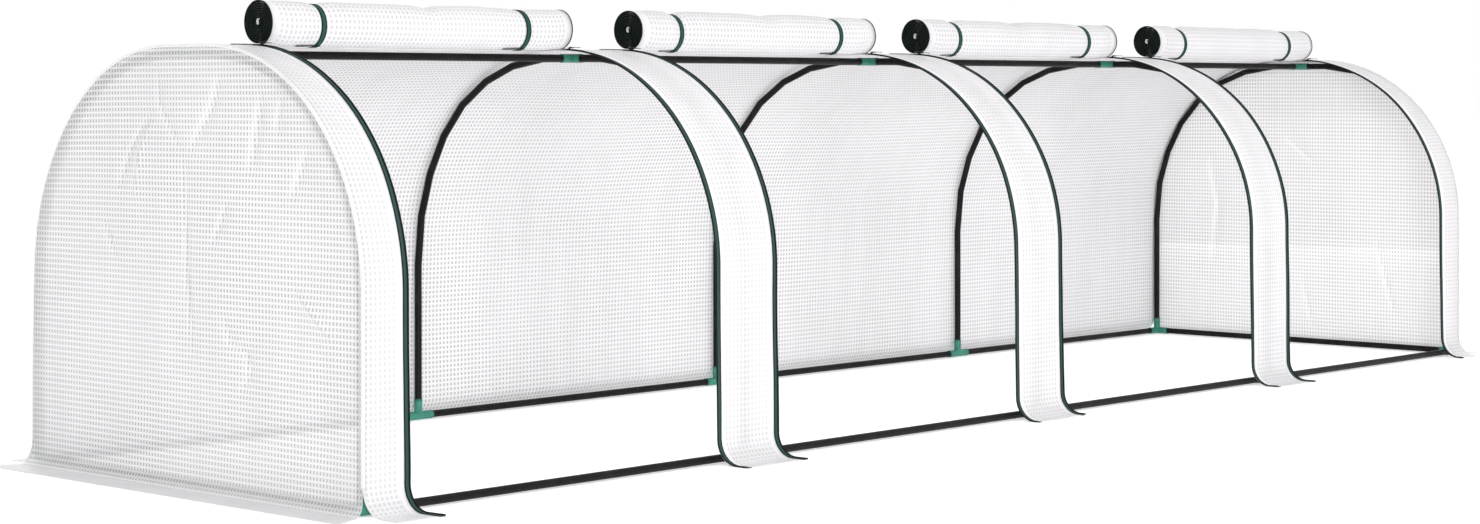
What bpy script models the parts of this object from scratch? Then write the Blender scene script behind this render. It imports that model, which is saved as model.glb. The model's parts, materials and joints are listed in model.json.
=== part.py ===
"""Tunnel greenhouse: five steel hoops, a tied-on cover, four roll-up doors and their zips."""
import math

import bmesh
import bpy
from mathutils import Matrix, Vector

# Frame, metres. X runs along the tunnel, the door side faces -Y, the ground is z = 0.
bay_count = 4
bay_length = 0.99
frame_half_width = 0.487
ridge_height = 0.804
bend_radius = 0.422
bends_per_side = 7

# Steel tube and the plastic fittings that hold it
tube_diameter = 0.016
tube_wall = 0.0006
tube_sides = 10
fitting_wall = 0.0010
fitting_sides = 12
foot_arm_height = 0.037
foot_arm_reach = 0.040
ridge_arm_reach = 0.029
socket_stop = 0.010
run_draft = 0.00015
elbow_share = 0.8

# Cover cloth
cloth_thickness = 0.0006
ridge_slack = 0.007
seam_lead = 0.012
middle_strip_half = 0.090
end_strip_width = 0.097
flare_radius = 0.050
flap_reach = 0.078
arc_step = math.radians(3.75)
flare_steps = 6

# Doors, rolled up on top
roll_radius = 0.041
roll_core_radius = 0.0055
roll_turns = 8
roll_sides = 12
roll_end_gap = 0.011
roll_lap = 0.8
roll_rise = 0.25
roll_lead_angle = math.radians(0.2)
strap_width = 0.015
strap_thickness = 0.0012
strap_inset = 0.125

# Zip sliders
slider_length = 0.012
slider_grip = 0.006
slider_bridge = 0.0022
slider_plate = 0.0011
slider_clearance = 0.0005
slider_seat_angle = math.radians(1.5)
pull_length = 0.024
pull_width = 0.006
pull_thickness = 0.0012
slider_round = 0.0004

# Between neighbours, where two shapes are joined, and in the mesh itself
gap = 0.0003
overlap = 0.0002
trim = 0.002
merge_distance = 1e-6
smooth_angle = math.radians(35)
facing_share = 0.9

# Worked out from the sizes above
tube_radius = tube_diameter / 2
socket_flat = tube_radius + gap
rail_height = socket_flat + fitting_wall
fitting_radius = rail_height / math.cos(math.pi / fitting_sides)
hoop_x = [bay_length * (i - bay_count / 2) for i in range(bay_count + 1)]
bend_centre_y = frame_half_width - bend_radius
bend_centre_z = ridge_height - bend_radius
bend_step = math.pi / 2 / bends_per_side
bend_corner_radius = bend_radius / math.cos(bend_step / 2)
cover_radius = bend_corner_radius + fitting_radius + gap
cover_centre_y = bend_centre_y
cover_leg = cover_centre_y + cover_radius
cover_centre_z = ridge_height + fitting_radius + gap + ridge_slack - cover_radius
cover_top = cover_centre_z + cover_radius + cloth_thickness
panel_inner = hoop_x[-1] + fitting_radius + gap
roll_orbit = cover_radius + cloth_thickness + gap + roll_radius + strap_thickness
seam_angle = math.asin(seam_lead / cover_radius)
roll_seat_angle = seam_angle + roll_lead_angle


def remove_everything():
    for obj in list(bpy.data.objects):
        bpy.data.objects.remove(obj, do_unlink=True)


def new_collection(name):
    collection = bpy.data.collections.new(name)
    bpy.context.scene.collection.children.link(collection)
    return collection


def finish(name, colour, roughness, metallic):
    material = bpy.data.materials.new(name)
    material.use_nodes = True
    shader = material.node_tree.nodes["Principled BSDF"]
    shader.inputs["Base Color"].default_value = (*colour, 1.0)
    shader.inputs["Roughness"].default_value = roughness
    shader.inputs["Metallic"].default_value = metallic
    return material


def add_object(name, data, material, collection):
    obj = bpy.data.objects.new(name, data)
    collection.objects.link(obj)
    if material is not None and not data.materials:
        data.materials.append(material)
    return obj


def add_cutter(name, data):
    cutter = add_object(name, data, None, cutters)
    cutter.hide_render = True
    cutter.display_type = 'WIRE'
    return cutter


def shade(mesh):
    mesh.shade_smooth()
    mesh.set_sharp_from_angle(angle=smooth_angle)


def evaluated_mesh(obj):
    """A mesh of the object with its modifiers applied, in the object's own frame."""
    bpy.context.view_layer.update()
    graph = bpy.context.evaluated_depsgraph_get()
    mesh = bpy.data.meshes.new_from_object(obj.evaluated_get(graph))
    bm = bmesh.new()
    bm.from_mesh(mesh)
    bmesh.ops.remove_doubles(bm, verts=bm.verts, dist=merge_distance)
    bm.to_mesh(mesh)
    bm.free()
    return mesh


def solidify(obj, thickness):
    modifier = obj.modifiers.new("wall", 'SOLIDIFY')
    modifier.thickness = thickness
    modifier.offset = 1.0
    modifier.use_even_offset = True


def boolean(obj, cutter, operation):
    modifier = obj.modifiers.new(operation.lower(), 'BOOLEAN')
    modifier.operation = operation
    modifier.solver = 'EXACT'
    modifier.object = cutter


def arc(centre, radius, start, end, steps):
    """Points round a centre, from one angle to another, both ends in."""
    turn = (end - start) / steps
    return [(centre[0] + radius * math.cos(start + turn * i),
             centre[1] + radius * math.sin(start + turn * i)) for i in range(steps + 1)]


def hollow_tube(name, points):
    """A steel tube along straight runs, open at both ends."""
    curve = bpy.data.curves.new(name, 'CURVE')
    curve.dimensions = '3D'
    curve.bevel_depth = tube_radius - tube_wall
    curve.bevel_resolution = tube_sides // 2 - 2
    spline = curve.splines.new('POLY')
    spline.points.add(len(points) - 1)
    for point, place in zip(spline.points, points):
        point.co = (*place, 1.0)
    path = add_object(name + "_path", curve, None, tunnel)
    mesh = evaluated_mesh(path)
    bpy.data.objects.remove(path)
    bpy.data.curves.remove(curve)
    mesh.name = name
    shade(mesh)
    solidify(add_object(name, mesh, steel, tunnel), tube_wall)


def arm_mesh(flat, start, end, direction):
    """One many-sided arm of a fitting along a direction, with its lowest side flat, as far out as given."""
    radius = flat / math.cos(math.pi / fitting_sides)
    bm = bmesh.new()
    bmesh.ops.create_cone(bm, cap_ends=True, segments=fitting_sides, radius1=radius,
                          radius2=radius, depth=end - start)
    bmesh.ops.rotate(bm, verts=bm.verts, matrix=Matrix.Rotation(math.pi / fitting_sides, 3, 'Z'))
    bmesh.ops.translate(bm, verts=bm.verts, vec=(0, 0, (start + end) / 2))
    turn = Vector((0, 0, 1)).rotation_difference(Vector(direction)).to_matrix()
    bmesh.ops.rotate(bm, verts=bm.verts, matrix=turn)
    mesh = bpy.data.meshes.new("arm")
    bm.to_mesh(mesh)
    bm.free()
    return mesh


def fitting_mesh(name, runs):
    """A plastic socket fitting at the origin: straight runs of pipe, bored from their open ends."""
    body = None
    bores = []
    for i, (direction, start, reach) in enumerate(runs):
        flat = rail_height - i * run_draft
        run = add_cutter("%s_run_%d" % (name, i), arm_mesh(flat, start, reach, direction))
        if body is None:
            body = run
        else:
            boolean(body, run, 'UNION')
        bores.append(arm_mesh(socket_flat, socket_stop, reach + gap, direction))
        if start == -reach:
            bores.append(arm_mesh(socket_flat, start - gap, -socket_stop, direction))
    for i, bore in enumerate(bores):
        boolean(body, add_cutter("%s_bore_%d" % (name, i), bore), 'DIFFERENCE')
    mesh = evaluated_mesh(body)
    mesh.name = name
    shade(mesh)
    return mesh


def place_fitting(name, mesh, place, turn):
    fitting = add_object(name, mesh, plastic, tunnel)
    fitting.location = place
    fitting.rotation_euler = (0, 0, turn)


def swept_sheet(name, profile, axis, low, high, outward):
    """A cloth sheet: a profile drawn across an axis, run along it, and given its thickness."""
    across = [i for i in range(3) if i != axis]
    bm = bmesh.new()
    verts = []
    for first, second in profile:
        place = [0.0, 0.0, 0.0]
        place[axis] = low
        place[across[0]] = first
        place[across[1]] = second
        verts.append(bm.verts.new(place))
    edges = [bm.edges.new(pair) for pair in zip(verts, verts[1:])]
    swept = bmesh.ops.extrude_edge_only(bm, edges=edges)["geom"]
    moved = [item for item in swept if isinstance(item, bmesh.types.BMVert)]
    shift = [0.0, 0.0, 0.0]
    shift[axis] = high - low
    bmesh.ops.translate(bm, verts=moved, vec=shift)
    bm.normal_update()
    facing = [face for face in bm.faces if abs(face.normal.dot(outward)) > facing_share]
    outermost = max(facing, key=lambda face: face.calc_center_median().dot(outward))
    if outermost.normal.dot(outward) < 0:
        bmesh.ops.reverse_faces(bm, faces=bm.faces)
    mesh = bpy.data.meshes.new(name)
    bm.to_mesh(mesh)
    bm.free()
    shade(mesh)
    sheet = add_object(name, mesh, cloth, tunnel)
    solidify(sheet, cloth_thickness)
    return sheet


def side_profile(side, start_angle):
    """The cover's inner face from near the ridge, over the bend, down the leg and out on the ground."""
    steps = math.ceil((math.pi / 2 - start_angle) / arc_step)
    bend = arc((cover_centre_y, cover_centre_z), cover_radius, math.pi / 2 - start_angle, 0.0, steps)
    return [(side * y, z) for y, z in bend + ground_flare(cover_leg)]


def ground_flare(wall):
    """Where a wall of cloth turns out onto the ground and ends in its flap."""
    flare = arc((wall + flare_radius, flare_radius), flare_radius, math.pi, math.pi * 1.5, flare_steps)
    return flare + [(wall + flap_reach, 0.0)]


def make_frame():
    """Hoops in two halves, the ridge, the rails on the ground and the fittings between them."""
    seat = socket_stop + gap
    for i, x in enumerate(hoop_x):
        for side, word in ((-1, "front"), (1, "back")):
            bends = arc((0.0, 0.0), bend_corner_radius, bend_step / 2,
                        math.pi / 2 - bend_step / 2, bends_per_side - 1)
            path = [(x, side * frame_half_width, rail_height + seat)]
            path += [(x, side * (bend_centre_y + y), bend_centre_z + z) for y, z in bends]
            path += [(x, side * seat, ridge_height)]
            hollow_tube("hoop_%d_%s" % (i + 1, word), path)
    for i, (start, end) in enumerate(zip(hoop_x, hoop_x[1:])):
        for word, y, z in (("ridge_tube", 0.0, ridge_height),
                           ("front_rail", -frame_half_width, rail_height),
                           ("back_rail", frame_half_width, rail_height)):
            hollow_tube("%s_%d" % (word, i + 1), [(start + seat, y, z), (end - seat, y, z)])
    for x, word in ((hoop_x[0], "left"), (hoop_x[-1], "right")):
        reach = frame_half_width - seat
        hollow_tube("end_rail_" + word, [(x, -reach, rail_height), (x, reach, rail_height)])


def make_fittings():
    along, across, up = (1, 0, 0), (0, 1, 0), (0, 0, 1)
    foot, ridge = foot_arm_reach, ridge_arm_reach
    elbow = -elbow_share * fitting_radius
    riser = (up, 0.0, foot_arm_height)
    corner = fitting_mesh("corner", [(along, elbow, foot), (across, elbow, foot), riser])
    tee = fitting_mesh("foot_tee", [(along, -foot, foot), riser])
    cross = fitting_mesh("ridge_cross", [(across, -ridge, ridge), (along, -ridge, ridge)])
    ridge_end = fitting_mesh("ridge_tee", [(across, -ridge, ridge), (along, 0.0, ridge)])
    quarter = math.pi / 2
    front, back = -frame_half_width, frame_half_width
    for word, x, y, turn in (("front_left", hoop_x[0], front, 0.0),
                             ("front_right", hoop_x[-1], front, quarter),
                             ("back_right", hoop_x[-1], back, 2 * quarter),
                             ("back_left", hoop_x[0], back, 3 * quarter)):
        place_fitting("corner_fitting_" + word, corner, (x, y, rail_height), turn)
    for i, x in enumerate(hoop_x[1:-1]):
        place_fitting("foot_tee_front_%d" % (i + 2), tee, (x, front, rail_height), 0.0)
        place_fitting("foot_tee_back_%d" % (i + 2), tee, (x, back, rail_height), 0.0)
        place_fitting("ridge_cross_%d" % (i + 2), cross, (x, 0.0, ridge_height), 0.0)
    place_fitting("ridge_tee_left", ridge_end, (hoop_x[0], 0.0, ridge_height), 0.0)
    place_fitting("ridge_tee_right", ridge_end, (hoop_x[-1], 0.0, ridge_height), 2 * quarter)


def make_cover():
    """The roof and back in one sheet, five front strips and two end panels."""
    edge = panel_inner - gap
    steps = math.ceil(seam_angle / arc_step)
    hem = arc((-cover_centre_y, cover_centre_z), cover_radius, math.pi / 2 + seam_angle,
              math.pi / 2, steps)
    swept_sheet("cover_roof_and_back", hem + side_profile(1, 0.0), 0, -edge, edge,
                Vector((0, 0, 1)))
    strip_profile = side_profile(-1, seam_angle + gap / cover_radius)
    for i, (low, high) in enumerate(strip_spans()):
        swept_sheet("front_strip_%d" % (i + 1), strip_profile, 0, low, high, Vector((0, 0, 1)))
    for side, word in ((-1, "left"), (1, "right")):
        end_panel(side, word)


def strip_spans():
    """Low and high X of each front strip."""
    edge = panel_inner - gap
    spans = [(-edge, hoop_x[0] + end_strip_width)]
    spans += [(x - middle_strip_half, x + middle_strip_half) for x in hoop_x[1:-1]]
    spans += [(hoop_x[-1] - end_strip_width, edge)]
    return spans


def end_panel(side, word):
    """A flat end wall with its flap on the ground, trimmed to the arch of the cover."""
    wall = [(side * panel_inner, cover_top + trim)]
    wall += [(side * x, z) for x, z in ground_flare(panel_inner)]
    half = cover_leg + cloth_thickness
    sheet = swept_sheet("end_panel_" + word, wall, 1, -half, half, Vector((side, 0, 0)))
    boolean(sheet, arch_cutter(side, word, half), 'INTERSECT')


def arch_cutter(side, word, half):
    """A block with the outline of the cover's outer face, over the whole reach of an end panel."""
    curve = bpy.data.curves.new("arch_" + word, 'CURVE')
    curve.dimensions = '2D'
    curve.fill_mode = 'BOTH'
    curve.extrude = flap_reach
    steps = math.ceil(math.pi / 2 / arc_step)
    bend = arc((cover_centre_y, cover_centre_z), cover_radius + cloth_thickness, math.pi / 2, 0.0, steps)
    right = bend + [(half, -flare_radius)]
    loop = right + [(-y, z) for y, z in reversed(right)]
    spline = curve.splines.new('POLY')
    spline.points.add(len(loop) - 1)
    for point, (y, z) in zip(spline.points, loop):
        point.co = (y, z, 0.0, 1.0)
    spline.use_cyclic_u = True
    flat = add_object("arch_flat_" + word, curve, None, cutters)
    mesh = evaluated_mesh(flat)
    bpy.data.objects.remove(flat)
    cutter = add_cutter("arch_cutter_" + word, mesh)
    upright = Matrix(((0, 0, 1, 0), (1, 0, 0, 0), (0, 1, 0, 0), (0, 0, 0, 1)))
    cutter.matrix_world = Matrix.Translation((side * (panel_inner + flap_reach / 2), 0, 0)) @ upright
    return cutter


def spiral_path():
    """The rolled door seen from its end: a spiral, then one round turn that lies outside it."""
    pitch = (roll_radius - cloth_thickness - roll_core_radius) / roll_turns
    inner = roll_core_radius + pitch * (roll_turns - 1)
    points = []
    total = int((roll_turns - 1 + roll_lap) * roll_sides)
    for i in range(total + 1):
        turns = i / roll_sides
        radius = roll_core_radius + pitch * turns
        if turns > roll_turns - 1:
            radius = inner + pitch * min(1.0, (turns - roll_turns + 1) / roll_rise)
        angle = -math.pi / 2 + math.tau * (turns - roll_turns + 1 - roll_lap)
        points.append((radius * math.cos(angle), radius * math.sin(angle)))
    return points


def make_doors():
    """Each door cloth is rolled up on the roof edge and tied with two straps."""
    spans = strip_spans()
    pivot = Vector((0.0, -cover_centre_y, cover_centre_z))
    for i in range(bay_count):
        low = spans[i][1] + roll_end_gap
        high = spans[i + 1][0] - roll_end_gap
        axis_point = bpy.data.objects.new("door_axis_%d" % (i + 1), None)
        tunnel.objects.link(axis_point)
        axis_point.location = pivot
        axis_point.rotation_euler = (roll_seat_angle, 0, 0)
        roll = swept_sheet("door_roll_%d" % (i + 1), spiral_path(), 0, low, high, Vector((0, 0, 1)))
        for j, x in enumerate((low + strap_inset, high - strap_inset)):
            ring = strap_ring("strap_%d_%d" % (i + 1, j + 1), x)
            boolean(roll, ring, 'UNION')
            carry(ring, axis_point)
        carry(roll, axis_point)


def carry(obj, axis_point):
    obj.parent = axis_point
    obj.location = (0, 0, roll_orbit)


def strap_ring(name, x):
    """A tie strap closed round the roll."""
    bm = bmesh.new()
    inner = roll_radius - cloth_thickness / 2
    outer = roll_radius + strap_thickness
    half = strap_width / 2
    verts = [bm.verts.new((x + side * half, 0.0, radius))
             for radius, side in ((inner, -1), (outer, -1), (outer, 1), (inner, 1))]
    edges = [bm.edges.new((verts[k], verts[(k + 1) % 4])) for k in range(4)]
    bmesh.ops.spin(bm, geom=verts + edges, cent=(0, 0, 0), axis=(1, 0, 0), angle=math.tau,
                   steps=roll_sides, use_merge=True)
    bmesh.ops.recalc_face_normals(bm, faces=bm.faces)
    mesh = bpy.data.meshes.new(name)
    bm.to_mesh(mesh)
    bm.free()
    return add_cutter(name, mesh)


def box_mesh(name, low, high):
    bm = bmesh.new()
    bmesh.ops.create_cube(bm, size=1.0)
    size = [b - a for a, b in zip(low, high)]
    bmesh.ops.scale(bm, verts=bm.verts, vec=size)
    bmesh.ops.translate(bm, verts=bm.verts, vec=[(a + b) / 2 for a, b in zip(low, high)])
    mesh = bpy.data.meshes.new(name)
    bm.to_mesh(mesh)
    bm.free()
    return mesh


def slider_mesh(name, side):
    """A zip slider gripping the edge of a strip that lies on the given side of it."""
    inner = cover_radius - slider_clearance
    outer = cover_radius + cloth_thickness + slider_clearance
    half = slider_length / 2
    open_edge = -side * (slider_clearance + slider_bridge)
    grip_edge = side * slider_grip
    low_x, high_x = sorted((open_edge, grip_edge))
    body = add_cutter(name + "_body", box_mesh(name, (low_x, -half, inner - slider_plate),
                                              (high_x, half, outer + slider_plate)))
    slot_low, slot_high = sorted((-side * slider_clearance, side * (slider_grip + gap)))
    slot = add_cutter(name + "_slot", box_mesh(name + "_slot", (slot_low, -half - gap, inner),
                                              (slot_high, half + gap, outer)))
    boolean(body, slot, 'DIFFERENCE')
    middle = (low_x + high_x) / 2
    top = outer + slider_plate
    pull = add_cutter(name + "_pull", box_mesh(
        name + "_pull", (middle - pull_width / 2, -half - pull_length, top - overlap),
        (middle + pull_width / 2, half / 2, top + pull_thickness)))
    boolean(body, pull, 'UNION')
    mesh = evaluated_mesh(body)
    mesh.name = name
    return mesh


def make_sliders():
    """One slider at the top of each zip, each on an empty at the bend's centre."""
    spans = strip_spans()
    meshes = {side: slider_mesh("slider_" + word, side) for side, word in ((-1, "left"), (1, "right"))}
    for i in range(bay_count):
        for word, x, side in (("left", spans[i][1], -1), ("right", spans[i + 1][0], 1)):
            axis_point = bpy.data.objects.new("zip_axis_%d_%s" % (i + 1, word), None)
            tunnel.objects.link(axis_point)
            axis_point.location = (x, -cover_centre_y, cover_centre_z)
            axis_point.rotation_euler = (seam_angle + slider_seat_angle, 0, 0)
            slider = add_object("zip_slider_%d_%s" % (i + 1, word), meshes[side], zip_black, tunnel)
            slider.parent = axis_point
            bevel = slider.modifiers.new("rounding", 'BEVEL')
            bevel.width = slider_round
            bevel.segments = 1
            bevel.limit_method = 'ANGLE'


remove_everything()
tunnel = new_collection("tunnel_greenhouse")
cutters = new_collection("cutters")
steel = finish("painted_steel", (0.032, 0.030, 0.032), 0.42, 0.0)
plastic = finish("green_plastic", (0.078, 0.317, 0.238), 0.45, 0.0)
cloth = finish("white_cloth", (0.82, 0.83, 0.84), 0.5, 0.0)
zip_black = finish("zip_plastic", (0.010, 0.030, 0.027), 0.4, 0.0)
make_frame()
make_fittings()
make_cover()
make_doors()
make_sliders()
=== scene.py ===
# Tunnel greenhouse: the looks of its frame, cover, roll-up doors and zips
import json
import math

import bmesh
import bpy
from mathutils import Matrix, Vector, noise


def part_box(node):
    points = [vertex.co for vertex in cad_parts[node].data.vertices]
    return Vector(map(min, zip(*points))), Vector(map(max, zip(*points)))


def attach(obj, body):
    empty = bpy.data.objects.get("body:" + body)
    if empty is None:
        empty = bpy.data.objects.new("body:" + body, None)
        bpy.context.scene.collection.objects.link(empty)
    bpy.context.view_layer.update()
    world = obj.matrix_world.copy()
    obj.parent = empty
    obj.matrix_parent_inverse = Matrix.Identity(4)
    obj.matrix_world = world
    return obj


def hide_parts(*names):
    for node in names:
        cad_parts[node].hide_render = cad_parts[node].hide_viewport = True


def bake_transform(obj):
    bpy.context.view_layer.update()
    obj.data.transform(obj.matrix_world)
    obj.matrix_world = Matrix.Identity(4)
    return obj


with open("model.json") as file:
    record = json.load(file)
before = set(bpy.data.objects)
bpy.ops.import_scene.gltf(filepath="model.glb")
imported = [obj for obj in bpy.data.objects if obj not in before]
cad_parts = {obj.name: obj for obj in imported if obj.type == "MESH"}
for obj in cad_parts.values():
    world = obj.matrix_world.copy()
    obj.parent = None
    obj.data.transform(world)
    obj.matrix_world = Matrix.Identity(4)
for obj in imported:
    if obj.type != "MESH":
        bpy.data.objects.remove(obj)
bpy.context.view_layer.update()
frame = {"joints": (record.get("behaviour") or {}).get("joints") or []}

print("frame loaded")


# Shader sums and nodes

class Wire:  # a node's output that can be added, multiplied and so on
    def __init__(self, look, socket):
        self.look = look
        self.socket = socket

    def sum(self, operation, first, second):
        return self.look.add("Math", {"operation": operation}, {0: first, 1: second})

    def __add__(self, other):
        return self.sum("ADD", self, other)

    __radd__ = __add__

    def __sub__(self, other):
        return self.sum("SUBTRACT", self, other)

    def __rsub__(self, other):
        return self.sum("SUBTRACT", other, self)

    def __mul__(self, other):
        return self.sum("MULTIPLY", self, other)

    __rmul__ = __mul__


class Look:  # one material, with its nodes
    def __init__(self, name):
        self.material = bpy.data.materials.new(name)
        self.material.use_nodes = True
        self.tree = self.material.node_tree
        self.tree.nodes.clear()

    def add(self, kind, settings=None, values=None, output=0):
        node = self.tree.nodes.new("ShaderNode" + kind)
        for key, value in (settings or {}).items():
            setattr(node, key, value)
        for key, value in (values or {}).items():
            if isinstance(value, Wire):
                self.tree.links.new(value.socket, node.inputs[key])
            else:
                node.inputs[key].default_value = value
        return Wire(self, node.outputs[output] if node.outputs else None)

    def place(self):  # metres, in the greenhouse's own frame
        return self.add("TexCoord", output="Object")

    def alongCloth(self):  # metres across and down a sheet, from its own map
        split = self.add("SeparateXYZ", values={0: self.add("TexCoord", output="UV")})
        return split, Wire(self, split.socket.node.outputs[1])

    def noise(self, vector, scale, detail=2.0):
        return self.add("TexNoise", values={"Vector": vector, "Scale": scale, "Detail": detail})

    def fade(self, value, low, high):  # 0 up to low, 1 from high
        return self.add("MapRange", {"interpolation_type": "SMOOTHSTEP"},
                        {"Value": value, "From Min": low, "From Max": high, "To Min": 0.0, "To Max": 1.0})

    def between(self, share, first, second):
        values = {0: share}
        for key, colour in ((6, first), (7, second)):
            values[key] = colour if isinstance(colour, Wire) else (*colour, 1.0)
        return self.add("Mix", {"data_type": 'RGBA'}, values, output=2)

    def wave(self, value, pitch):  # 0 on each line, 1 half way between lines
        return self.add("Math", {"operation": 'PINGPONG'}, {0: value, 1: pitch / 2}) * (2 / pitch)

    def bump(self, height, distance):
        return self.add("Bump", values={"Height": height, "Distance": distance})

    def finish(self, colour, roughness, normal, through=0.0, glow=(1, 1, 1), metallic=0.0, specular=0.5,
               clear=0.0):
        shader = self.add("BsdfPrincipled", values={
            "Base Color": colour, "Roughness": roughness, "Normal": normal, "Metallic": metallic,
            "Specular IOR Level": specular, "Alpha": 1.0 - clear / (1.0 - through)})
        if through:  # cloth that light comes through
            lit = self.add("BsdfTranslucent", values={"Color": (*glow, 1.0)})
            shader = self.add("MixShader", values={0: through, 1: shader, 2: lit})
        self.add("OutputMaterial", values={"Surface": shader})
        return self.material


tubeCoat = {"patches": 18.0, "grain": 1400.0, "fade": (0.45, 0.75), "roughness": (0.36, 0.16),
            "depth": 0.00004, "specular": 0.16}
mouldedGreen = {"patches": 60.0, "grain": 2200.0, "fade": (0.35, 0.70), "roughness": (0.40, 0.12),
                "depth": 0.00003, "specular": 0.35}


def coatLook(name, dark, light, coat):
    look = Look(name)
    place = look.place()
    cloudy = look.noise(place, coat["patches"])
    colour = look.between(look.fade(cloudy, *coat["fade"]), dark, light)
    base, spread = coat["roughness"]
    grain = look.bump(look.noise(place, coat["grain"]), coat["depth"])
    return look.finish(colour, base + cloudy * spread, grain, specular=coat["specular"])


# the crease tone, grey and white paint shade and highlight along the end walls' creases
film = {"downPitch": 0.0106, "threadHeight": 0.0003, "roughness": (0.36, 0.12), "creaseTone": 0.46,
        "tint": (1.0, 0.989, 1.003), "cellDown": (0.32, 0.50), "cellAcross": (0.46, 0.68),
        "lineDown": (0.10, 0.32), "dashes": (0.72, 0.28), "threads": 0.7, "clouds": 3.1, "crumples": 26.0,
        # the streaks' grey is partly the film's uneven tone and partly painted shade of soft upright
        # wrinkles
        "streaks": (9.0, 9.0, 1.3), "streakScale": 2.2, "streakShare": 0.12,
        "streakGrey": (0.52, 0.52, 0.53), "creaseGrey": (0.45, 0.45, 0.46),
        "creaseWhite": (0.98, 0.98, 0.98)}


def tinted(grey):  # a grey with the faint tint that all the film has
    return tuple(grey * share for share in film["tint"])


def filmLook(name, pitch, greys, through, clear):
    # woven film: bright threads across, with a grey dash in each cell between them
    # through is the share of light each face scatters on, and clear the share it lets straight through
    ground, dash, thread, glow = [tinted(grey) for grey in greys]
    look = Look(name)
    across, down = look.alongCloth()
    place = look.place()
    cloudy = look.noise(place, film["clouds"], 3.0)
    # upright streaks: partly uneven tone of the film, partly painted shade of soft upright wrinkles
    stretched = look.add("VectorMath", {"operation": 'MULTIPLY'}, {0: place, 1: film["streaks"]})
    toneAndShadeStreak = look.noise(stretched, film["streakScale"], 3.0)
    patchy = look.fade(cloudy, 0.3, 0.7)
    column = look.wave(across, pitch)
    row = look.wave(down, film["downPitch"])
    cell = look.fade(row, *film["cellDown"]) * look.fade(column, *film["cellAcross"])
    line = 1 - look.fade(row, *film["lineDown"])
    least, more = film["dashes"]
    colour = look.between(cell * (least + patchy * more), ground, dash)
    colour = look.between(line * film["threads"], colour, thread)
    colour = look.between(look.fade(toneAndShadeStreak, 0.35, 0.75) * film["streakShare"], colour, film["streakGrey"])
    # painted shade and highlight at the creases: a thin grey line of painted shade along each crease, with
    # a painted highlight beside it, and only the end walls have creases
    crease = look.add("Attribute", {"attribute_name": "crease"}, output=2)
    grey = look.fade(crease, 0.0, 1.0) * film["creaseTone"]
    creaseHighlight = look.fade(0 - crease, 0.0, 1.0) * film["creaseTone"] * 2
    colour = look.between(grey, colour, film["creaseGrey"])
    colour = look.between(creaseHighlight, colour, film["creaseWhite"])
    crumple = look.noise(place, film["crumples"], 4.0)
    height = line * 0.35 + crumple * 0.9 - cell * 0.3
    base, spread = film["roughness"]
    return look.finish(colour, base + patchy * spread, look.bump(height, film["threadHeight"]),
                       through=through, glow=glow, specular=0.3, clear=clear)


def plainClothLook(name, grey, shade):
    look = Look(name)
    across, down = look.alongCloth()
    weave = look.wave(across, 0.0016) * look.wave(down, 0.0016)
    cloudy = look.noise(look.place(), 9.0)
    tone = look.between(look.fade(cloudy, 0.3, 0.75) * 0.6, tinted(grey), tinted(shade))
    return look.finish(tone, 0.40 + cloudy * 0.1, look.bump(weave, 0.00006), through=0.25,
                       glow=tinted(grey), specular=0.3)


def webbingLook(name, dark, light, rib):
    look = Look(name)
    across, down = look.alongCloth()
    lines = look.wave(across, rib)
    picks = look.wave(down, rib * 0.8)
    tone = look.fade(lines * 0.6 + picks * 0.4, 0.25, 0.85)
    fuzz = look.noise(look.place(), 500.0)
    colour = look.between(tone * 0.8 + fuzz * 0.2, dark, light)
    return look.finish(colour, 0.6 + fuzz * 0.15, look.bump(tone, 0.00022), specular=0.08)


def tapeLook(name, width, thick, middleColour, edgeColour, rib):
    # woven tape, nearly black along both edges and dark green between
    look = Look(name)
    across, down = look.alongCloth()
    away = look.add("Math", {"operation": 'ABSOLUTE'}, {0: across - (width * 1.5 + thick)})
    edge = look.fade(away, width * 0.22, width * 0.38)
    ribs = look.wave(across, rib) * 0.5 + look.wave(down, rib * 1.4) * 0.5
    fuzz = look.noise(look.place(), 500.0)
    colour = look.between(edge, middleColour, edgeColour)
    colour = look.between(ribs * 0.12 + fuzz * 0.1, colour, edgeColour)
    return look.finish(colour, 0.62 + ribs * 0.1, look.bump(ribs, 0.0002), specular=0.12)


def hardZipLook():
    look = Look("zipCoil")
    fuzz = look.noise(look.place(), 240.0)
    colour = look.between(fuzz, (0.0015, 0.004, 0.004), (0.006, 0.012, 0.011))
    return look.finish(colour, 0.40 + fuzz * 0.12, look.bump(fuzz, 0.00003), specular=0.14)


def sliderLook():
    look = Look("zipSlider")
    place = look.place()
    rub = look.fade(look.noise(place, 420.0), 0.5, 0.75)
    colour = look.between(rub, (0.010, 0.011, 0.012), (0.05, 0.052, 0.054))
    grain = look.bump(look.noise(place, 900.0), 0.00004)
    return look.finish(colour, 0.34 - rub * 0.08, grain, metallic=0.6)


blackCoat = coatLook("blackCoat", (0.0036, 0.0032, 0.0036), (0.0105, 0.0095, 0.0100), tubeCoat)
greenPlastic = coatLook("greenPlastic", (0.030, 0.195, 0.140), (0.048, 0.255, 0.190), mouldedGreen)
greenCollar = coatLook("greenCollar", (0.018, 0.110, 0.082), (0.028, 0.150, 0.112), mouldedGreen)
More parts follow.
